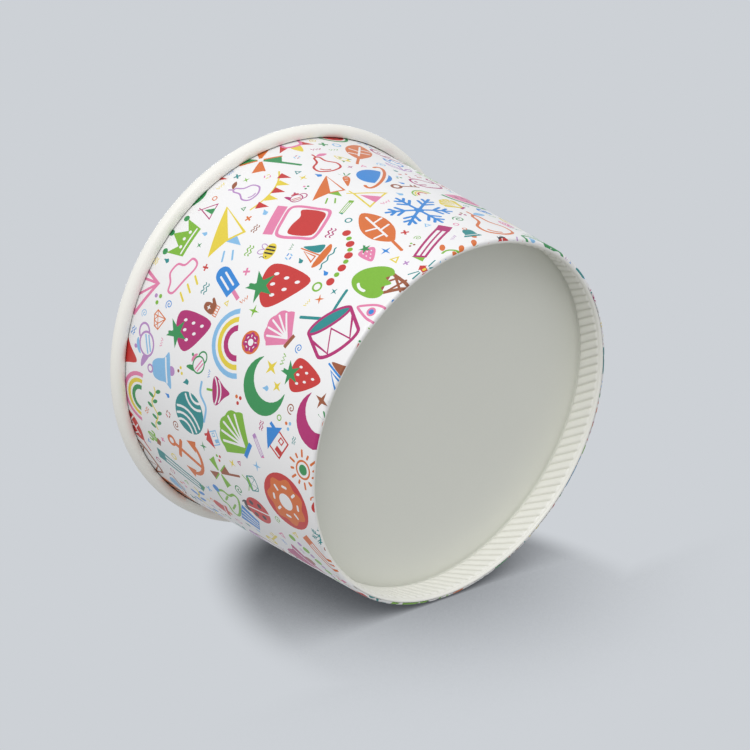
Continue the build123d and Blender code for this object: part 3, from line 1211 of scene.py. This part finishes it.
# The board's surface, in metres, and what each face of it has otherwise
board = {
    "grainScale": 2600,
    "grainDepth": 0.000004,
    "cloudScale": 90,
    "cloudDepth": 0.00001,
    "mottle": 0.012,
    "inkMottle": 0.05,
    "roughness": 0.4,
    "coat": 0.2,
    "coatRoughness": 0.28,
    "ior": 1.48,
    # the colour that the grooves are multiplied by, as painted shade
    "grooveShadeTint": "E8E8E4",
}
finishes = {
    "inner_face_cream": {"colour": "F7F5EE", "roughness": 0.46, "coat": 0.1},
    "cut_edge": {"colour": "E6E0D2", "mottle": 0.06, "roughness": 0.85, "coat": 0.0, "grain": 3.0},
    "hem_white": {"colour": "F3F2EB", "roughness": 0.42},
    "disc_white": {"colour": "E4E5DC", "roughness": 0.45, "coat": 0.1},
}


def srgb(code):
    values = [int(code[n:n + 2], 16) / 255 for n in (0, 2, 4)]
    return [v / 12.92 if v < 0.04045 else ((v + 0.055) / 1.055) ** 2.4 for v in values] + [1]


def newMaterial(name):
    material = bpy.data.materials.new(name)
    material.use_nodes = True
    return material, material.node_tree


def addObject(name, data):
    made = bpy.data.objects.new(name, data)
    bpy.context.scene.collection.objects.link(made)
    return made


def addNode(tree, kind, **settings):
    # a setting is a socket to link to an input, an input's value, or a property of the node
    node = tree.nodes.new(kind)
    for key, value in settings.items():
        if isinstance(value, bpy.types.NodeSocket):
            tree.links.new(value, node.inputs[key])
        elif key in node.inputs:
            node.inputs[key].default_value = value
        else:
            setattr(node, key, value)
    return node


def ranged(tree, value, low, high, start=0, end=1, smooth=False):
    # a value carried from low..high over to start..end
    node = addNode(tree, "ShaderNodeMapRange", interpolation_type="SMOOTHSTEP" if smooth else "LINEAR", Value=value)
    for key, number in (("From Min", low), ("From Max", high), ("To Min", start), ("To Max", end)):
        node.inputs[key].default_value = number
    return node.outputs["Result"]


def combined(tree, operation, first, *others):
    # values taken together two by two
    for other in others:
        node = addNode(tree, "ShaderNodeMath", operation=operation)
        tree.links.new(first, node.inputs[0])
        tree.links.new(other, node.inputs[1])
        first = node.outputs["Value"]
    return first


def vectorMath(tree, operation, vector, other=None):
    node = addNode(tree, "ShaderNodeVectorMath", operation=operation)
    tree.links.new(vector, node.inputs[0])
    if other is not None:
        node.inputs[1].default_value = other
    return node.outputs["Value" if operation in ("LENGTH", "DOT_PRODUCT") else "Vector"]


def mixShaders(tree, share, first, second, output):
    mix = addNode(tree, "ShaderNodeMixShader", Fac=share)
    tree.links.new(first, mix.inputs[1])
    tree.links.new(second, mix.inputs[2])
    tree.links.new(mix.outputs["Shader"], tree.nodes[output].inputs["Surface"])


def boardMaterial(name, colour, mottle=board["mottle"], roughness=board["roughness"], coat=board["coat"], grain=1.0):
    # coated paperboard: a colour with faint clouds and specks, a fine grain and a slow swell
    material, tree = newMaterial(name)
    shader = tree.nodes["Principled BSDF"]
    place = addNode(tree, "ShaderNodeTexCoord").outputs["Object"]
    fine = addNode(tree, "ShaderNodeTexNoise", Scale=board["grainScale"], Detail=3.0, Roughness=0.6, Vector=place)
    cloud = addNode(tree, "ShaderNodeTexNoise", Scale=board["cloudScale"], Detail=4.0, Roughness=0.55, Vector=place)
    fine, cloud = (noise.outputs["Fac"] for noise in (fine, cloud))
    both = addNode(tree, "ShaderNodeMix", data_type="FLOAT", Factor=0.6, A=cloud, B=fine)
    share = ranged(tree, both.outputs["Result"], 0.3, 0.7)
    dark = [c * (1 - mottle) for c in srgb(colour)[:3]] + [1]
    light = [min(1, c * (1 + mottle) + mottle * 0.1) for c in srgb(colour)[:3]] + [1]
    shade = addNode(tree, "ShaderNodeMix", data_type="RGBA", Factor=share, A=dark, B=light)
    tree.links.new(shade.outputs["Result"], shader.inputs["Base Color"])
    tree.links.new(ranged(tree, cloud, 0, 1, roughness - 0.05, roughness + 0.07), shader.inputs["Roughness"])
    swell = addNode(tree, "ShaderNodeBump", Distance=board["cloudDepth"], Strength=0.5, Height=cloud)
    grit = addNode(tree, "ShaderNodeBump", Distance=board["grainDepth"] * grain, Strength=0.6, Height=fine,
                   Normal=swell.outputs["Normal"])
    tree.links.new(grit.outputs["Normal"], shader.inputs["Normal"])
    shader.inputs["Coat Weight"].default_value = coat
    shader.inputs["Coat Roughness"].default_value = board["coatRoughness"]
    shader.inputs["IOR"].default_value = board["ior"]
    return material


def shadeGrooves(material):
    # painted shade: the colour is darkened in the knurl's grooves, standing in for the shade that falls in them
    tree = material.node_tree
    colour = tree.nodes["Principled BSDF"].inputs["Base Color"]
    pressed = addNode(tree, "ShaderNodeAttribute", attribute_name="pressed").outputs["Fac"]
    darker = addNode(tree, "ShaderNodeMix", data_type="RGBA", blend_type="MULTIPLY", Factor=pressed,
                     A=colour.links[0].from_socket, B=srgb(board["grooveShadeTint"]))
    tree.links.new(darker.outputs["Result"], colour)


def bakeMap(wall):
    # a flat map of the whole mesh: the blank in two strips, one above the other, and the rings over them
    half = sheetWidth / 2
    margin = flatMap["margin"]
    second = wall["flat"].real.mean(1) > half
    across = (wall["flat"].real - half * second[:, None] + margin) / (half + 2 * margin)
    up = (wall["flat"].imag + margin) / (faceLength + 2 * margin) * flatMap["strip"]
    blankPart = np.stack([across, up + flatMap["strip"] * second[:, None]], -1).reshape(-1, 2)
    rings = [(key / fullTurn, height) for band in wall["bands"] for face in band for vertex, key, height in face]
    seam = [(run / faceLength, height) for face in wall["seam"] for vertex, run, height in face]
    return np.concatenate([blankPart, rings, seam])


def makeWall():
    wall = buildWall()
    insideSlot, edgeSlot, bareSlot = (len(inkOrder) + n for n in range(3))
    faces = wall["triangles"].tolist()
    slots = wall["shown"].tolist()
    lastInside = max(n for n, row in enumerate(wall["rows"]) if row[0].imag > cup["recessDepth"])
    for n, band in enumerate(wall["bands"]):
        faces += [[corner[0] for corner in face] for face in band]
        slot = insideSlot if n <= lastInside else bareSlot
        slots += [0 if n == len(wall["bands"]) - 1 else slot] * len(band)
    seamFirst = len(faces)
    faces += [[corner[0] for corner in face] for face in wall["seam"]]
    slots += [edgeSlot] * len(wall["seam"])
    mesh = bpy.data.meshes.new("sidewall_board")
    mesh.from_pydata((wall["positions"] * mm).tolist(), [], faces)
    mesh.polygons.foreach_set("material_index", slots)
    mesh.polygons.foreach_set("use_smooth", [True] * len(faces))
    for ink in inkOrder:
        if ink == "paper":
            mesh.materials.append(boardMaterial("outer_face_white", inks[ink]))
        else:
            mesh.materials.append(boardMaterial("ink_" + ink, inks[ink], board["inkMottle"]))
    for name in ("inner_face_cream", "cut_edge", "hem_white"):
        mesh.materials.append(boardMaterial(name, **finishes[name]))
    shadeGrooves(mesh.materials["hem_white"])
    # the grooves' painted shade, carried to the material as a vertex attribute
    mesh.attributes.new("pressed", "FLOAT", "POINT").data.foreach_set("value", wall["pressed"].astype(np.float32))
    uvMap = mesh.uv_layers.new(name="OFBake")
    uvMap.uv.foreach_set("vector", bakeMap(wall).astype(np.float32).ravel())
    loops = np.zeros(len(mesh.loops), int)
    mesh.loops.foreach_get("vertex_index", loops)
    loopNormals = wall["normals"][loops]
    for polygon in mesh.polygons[seamFirst:]:
        loopNormals[list(polygon.loop_indices)] = polygon.normal
    mesh.normals_split_custom_set(loopNormals.tolist())
    print("sidewall triangles:", len(faces))
    return addObject("sidewall_board", mesh)


# The bottom disc, in mm
disc = {
    "cornerRadius": 0.9,
    "skirtEnd": 0.9,
    "dish": 0.12,
    "swell": 0.03,
    "plainEdge": 2,  # no swell this near to the skirt
    "columns": 240,
}


def makeDisc():
    # the bottom disc with its corner bent down into the skirt, as a closed lathed mesh
    thick = cup["board"]
    gap = thick + cup["glueLine"]
    floor = cup["recessDepth"]
    bend = disc["cornerRadius"]
    end = disc["skirtEnd"]
    corner = wallPoint(gap + bend, floor + thick - bend)
    inner = wallPoint(gap + thick, 0).real
    radii = np.linspace(0, 1, 9)[1:] * (corner.real - 0.2)
    section = (
        [complex(r, floor + thick) for r in radii]
        + arcPath(corner, bend, 90, -wallDegrees, 8)
        + [wallPoint(gap, end + 0.1), wallPoint(gap + 0.1, end)]
        + [wallPoint(gap + thick - 0.1, end), wallPoint(gap + thick, end + 0.1)]
        + arcPath(corner, bend - thick, -wallDegrees, 90, 6)
        + [complex(r, floor) for r in radii[::-1]]
    )
    count = disc["columns"]
    angles = fullTurn * np.arange(count) / count
    wave = disc["swell"] * np.sin(3 * angles + 0.6)
    verts = [(0, 0, floor + thick - disc["dish"])]
    for point in section:
        share = min(1, point.real / inner)
        height = point.imag + 0 * angles
        if point.imag > floor - 1e-6:
            height -= disc["dish"] * (1 - share ** 2)
            if point.real < inner - disc["plainEdge"]:
                height += wave * share
        verts += list(zip(point.real * np.cos(angles), point.real * np.sin(angles), height))
    verts.append((0, 0, floor - disc["dish"]))
    steps = [(n, (n + 1) % count) for n in range(count)]
    faces = [(0, 1 + n, 1 + m) for n, m in steps]
    lastRow = 1 + (len(section) - 1) * count
    for row in range(1, lastRow, count):
        faces += [(row + n, row + count + n, row + count + m, row + m) for n, m in steps]
    faces += [(lastRow + count, lastRow + m, lastRow + n) for n, m in steps]
    mesh = bpy.data.meshes.new("bottom_disc_board")
    mesh.from_pydata([(x * mm, y * mm, z * mm) for x, y, z in verts], [], faces)
    mesh.polygons.foreach_set("use_smooth", [True] * len(faces))
    mesh.materials.append(boardMaterial("disc_white", **finishes["disc_white"]))
    return addObject("bottom_disc_board", mesh)


wallPiece = makeWall()
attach(wallPiece, "root")
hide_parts("sidewall")
print("stage 3: sidewall made")

discPiece = makeDisc()
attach(discPiece, "root")
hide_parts("bottom_disc")
print("stage 4: bottom disc made")

# The photograph shows the cup lying on its side. Here the cup stands, so the camera and the
# picture's own ground take the places that they have round the lying cup.
picture = {
    "camera": Vector((51.44, 210.48, -177.9)) * mm,
    "up": Vector((-0.7532, 0.5833, 0.3042)),
    "aim": Vector((0, 0, 30)) * mm,
    "lens": 67,
}
studio = {
    "background": srgb("CDD1D6"),
    "fill": 0.57,
    "fillSlope": 0.3,
    "fillTo": Vector((-0.5, 0.75, 0.2)),
    "fillColour": (0.98, 0.99, 1, 1),
    "keyFrom": Vector((-0.14, 0.9, -0.33)),
    "keyShare": 0.37,
    "topFrom": Vector((-0.25, -0.4, 0.88)),
    "topShare": 0.36,
    "lampDistance": 0.9,
    "lampSize": 0.55,
}
floorPlane = {
    "half": 1.6,
    "colour": srgb("D6D9DD"),
    "nearShade": 0.022,
    "fade": (0.16, 0.7),
}
# The picture's ground, a sheet of painted shadow, in metres on its own plane: X across the cup, Y up along it from
# the base
groundPlane = {
    "half": 0.16,
    "normal": Vector((-0.7004, 0.7004, 0.1376)),
    "depth": 39.5 * mm,
    # the painted shadow's colour
    "colour": srgb("2E3136"),
    "reach": 0.07,
    "towardsKey": 0.5,
    "occlusion": (0.9, 0.2),
    "darkest": 0.95,
    "oval": (0.045, 0.066),
    "ovalFade": (0.8, 1.05),
    "belowBase": (-0.012, -0.006),
    "lowLine": (-0.25, 1, 0),
    "low": (0.013, 0.018),
    "shadedSide": (-0.009, -0.005),
}


def makeWorld():
    # soft light from all round, brighter from one side; the camera sees a plain pale grey
    world = bpy.data.worlds.new("studio_world")
    bpy.context.scene.world = world
    world.use_nodes = True
    tree = world.node_tree
    light = tree.nodes["Background"]
    light.inputs["Color"].default_value = studio["fillColour"]
    place = addNode(tree, "ShaderNodeTexCoord").outputs["Generated"]
    lean = vectorMath(tree, "DOT_PRODUCT", place, studio["fillTo"].normalized())
    level = ranged(tree, lean, -1, 1, studio["fill"] - studio["fillSlope"], studio["fill"] + studio["fillSlope"])
    tree.links.new(level, light.inputs["Strength"])
    plain = addNode(tree, "ShaderNodeBackground", Color=studio["background"], Strength=1.0)
    rays = addNode(tree, "ShaderNodeLightPath")
    plainRays = [rays.outputs[kind] for kind in ("Is Camera Ray", "Is Glossy Ray", "Is Transmission Ray")]
    share = combined(tree, "MAXIMUM", *plainRays)
    mixShaders(tree, share, light.outputs["Background"], plain.outputs["Background"], "World Output")


def makePlane(name, half):
    mesh = bpy.data.meshes.new(name)
    mesh.from_pydata([(-half, -half, 0), (half, -half, 0), (half, half, 0), (-half, half, 0)], [], [(0, 1, 2, 3)])
    return addObject(name, mesh)


def makeFloor():
    # the floor that the standing cup casts its shadow on; from below it isn't there
    floor = makePlane("floor", floorPlane["half"])
    material, tree = newMaterial("floor_grey")
    shader = tree.nodes["Principled BSDF"]
    nearShade = addNode(tree, "ShaderNodeAmbientOcclusion", Color=floorPlane["colour"],
                        Distance=floorPlane["nearShade"], samples=12)
    tree.links.new(nearShade.outputs["Color"], shader.inputs["Base Color"])
    shader.inputs["Roughness"].default_value = 0.9
    shader.inputs["Specular IOR Level"].default_value = 0.1
    away = vectorMath(tree, "LENGTH", addNode(tree, "ShaderNodeTexCoord").outputs["Object"])
    fade = ranged(tree, away, *floorPlane["fade"], smooth=True)
    behind = addNode(tree, "ShaderNodeNewGeometry").outputs["Backfacing"]
    clear = addNode(tree, "ShaderNodeBsdfTransparent").outputs["BSDF"]
    mixShaders(tree, combined(tree, "MAXIMUM", fade, behind), shader.outputs["BSDF"], clear, "Material Output")
    floor.data.materials.append(material)
    return floor


def makeGround():
    # the ground of the photograph as a sheet of painted shadow, seen only where the lying cup would shade it
    ground = makePlane("picture_ground", groundPlane["half"])
    normal = groundPlane["normal"].normalized()
    upward = (Vector((0, 0, 1)) - normal * normal.z).normalized()
    facing = Matrix((upward.cross(normal), upward, normal)).transposed().to_4x4()
    ground.matrix_world = Matrix.Translation(-normal * groundPlane["depth"]) @ facing
    material, tree = newMaterial("picture_ground_painted_shadow")
    tree.nodes.remove(tree.nodes["Principled BSDF"])
    surface = addNode(tree, "ShaderNodeNewGeometry")
    # the painted shadow is darker the more the cup closes in on a point, leaning towards the key lamp
    lean = vectorMath(tree, "ADD", surface.outputs["Normal"], studio["keyFrom"] * groundPlane["towardsKey"])
    shade = addNode(tree, "ShaderNodeAmbientOcclusion", Distance=groundPlane["reach"], samples=12,
                    Normal=vectorMath(tree, "NORMALIZE", lean))
    dark = ranged(tree, shade.outputs["AO"], *groundPlane["occlusion"], 0, groundPlane["darkest"])

    # all of it shows below the cup's base, and beside the cup what lies along the wall's shaded side
    place = addNode(tree, "ShaderNodeTexCoord").outputs["Object"]
    parts = addNode(tree, "ShaderNodeSeparateXYZ", Vector=place)
    wide, tall = groundPlane["oval"]
    near = addNode(tree, "ShaderNodeMapping", Scale=(1 / wide, 1 / tall, 0), Vector=place)
    away = vectorMath(tree, "LENGTH", near.outputs["Vector"])
    climb = vectorMath(tree, "DOT_PRODUCT", place, groundPlane["lowLine"])
    rounded = ranged(tree, away, *groundPlane["ovalFade"], 1, 0, smooth=True)
    below = ranged(tree, parts.outputs["Y"], *groundPlane["belowBase"], 1, 0)
    low = ranged(tree, climb, *groundPlane["low"], 1, 0)
    shaded = ranged(tree, parts.outputs["X"], *groundPlane["shadedSide"], 1, 0)
    front = ranged(tree, surface.outputs["Backfacing"], 0, 1, 1, 0)
    beside = combined(tree, "MULTIPLY", rounded, combined(tree, "MAXIMUM", low, shaded))
    share = combined(tree, "MULTIPLY", dark, combined(tree, "MAXIMUM", below, beside), front)
    clear = addNode(tree, "ShaderNodeBsdfTransparent").outputs["BSDF"]
    # the painted shadow shows its own dark colour at a fixed level and is not lit
    ink = addNode(tree, "ShaderNodeEmission", Color=groundPlane["colour"], Strength=1.0).outputs["Emission"]
    mixShaders(tree, share, clear, ink, "Material Output")
    ground.data.materials.append(material)
    return ground


def addLamp(name, direction, share):
    lamp = bpy.data.lights.new(name, "AREA")
    lamp.shape = "DISK"
    lamp.size = studio["lampSize"]
    lamp.energy = share * math.pi ** 2 * studio["lampDistance"] ** 2
    holder = addObject(name, lamp)
    holder.location = direction.normalized() * studio["lampDistance"] + picture["aim"]
    holder.rotation_mode = "QUATERNION"
    holder.rotation_quaternion = direction.to_track_quat("Z", "Y")


def addCamera():
    eye = addObject("picture_camera", bpy.data.cameras.new("picture_camera"))
    eye.data.lens = picture["lens"]
    eye.data.clip_start = 0.01
    eye.data.clip_end = 20
    eye.location = picture["camera"]
    backward = (picture["camera"] - picture["aim"]).normalized()
    rightward = picture["up"].cross(backward).normalized()
    eye.rotation_mode = "QUATERNION"
    turn = Matrix((rightward, backward.cross(rightward), backward)).transposed()
    eye.rotation_quaternion = turn.to_quaternion()
    bpy.context.scene.camera = eye


for stagePiece in (makeFloor(), makeGround()):
    for ray in ("diffuse", "glossy", "transmission", "shadow", "volume_scatter"):
        setattr(stagePiece, "visible_" + ray, False)
makeWorld()
addLamp("key_lamp", studio["keyFrom"], studio["keyShare"])
addLamp("top_lamp", studio["topFrom"], studio["topShare"])
addCamera()
bpy.context.scene.view_settings.view_transform = "Standard"
print("stage 5: floor, light and camera set")
